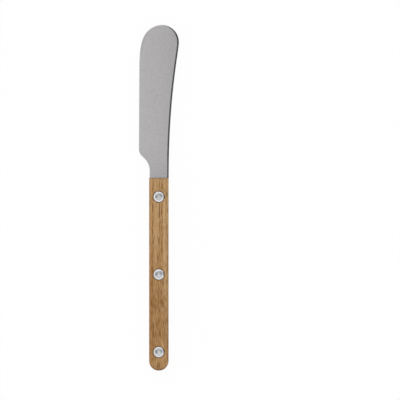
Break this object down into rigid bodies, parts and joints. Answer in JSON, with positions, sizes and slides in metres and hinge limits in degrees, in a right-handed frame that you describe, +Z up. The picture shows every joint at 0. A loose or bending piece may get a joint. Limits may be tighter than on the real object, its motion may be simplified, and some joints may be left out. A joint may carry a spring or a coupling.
{
  "type": "butter knife",
  "caption": "Small spreading knife with a round-tipped satin steel blade, a choil at the heel and a full tang riveted between two slim wooden handle scales.",
  "frame": {"origin": "centre of the knife's length and width, on the surface it lies on", "axes": "+Y along the knife towards the blade's tip, +X towards the spine, +Z up through the front scale"},
  "size_m": [0.0192, 0.165, 0.0091],
  "materials": {
    "satin_steel": "stainless steel, fine satin finish, bevelled spine",
    "oiled_wood": "warm brown open-pored hardwood, oiled, grain along the handle",
    "polished_rivet": "bright polished steel rivet heads with slight handling marks"
  },
  "bodies": {
    "root": {"blade_with_tang": "satin_steel", "front_scale": "oiled_wood", "back_scale": "oiled_wood", "neck_rivet_sleeve": "polished_rivet", "neck_rivet_post": "polished_rivet", "middle_rivet_sleeve": "polished_rivet", "middle_rivet_post": "polished_rivet", "butt_rivet_sleeve": "polished_rivet", "butt_rivet_post": "polished_rivet"}
  },
  "joints": []
}
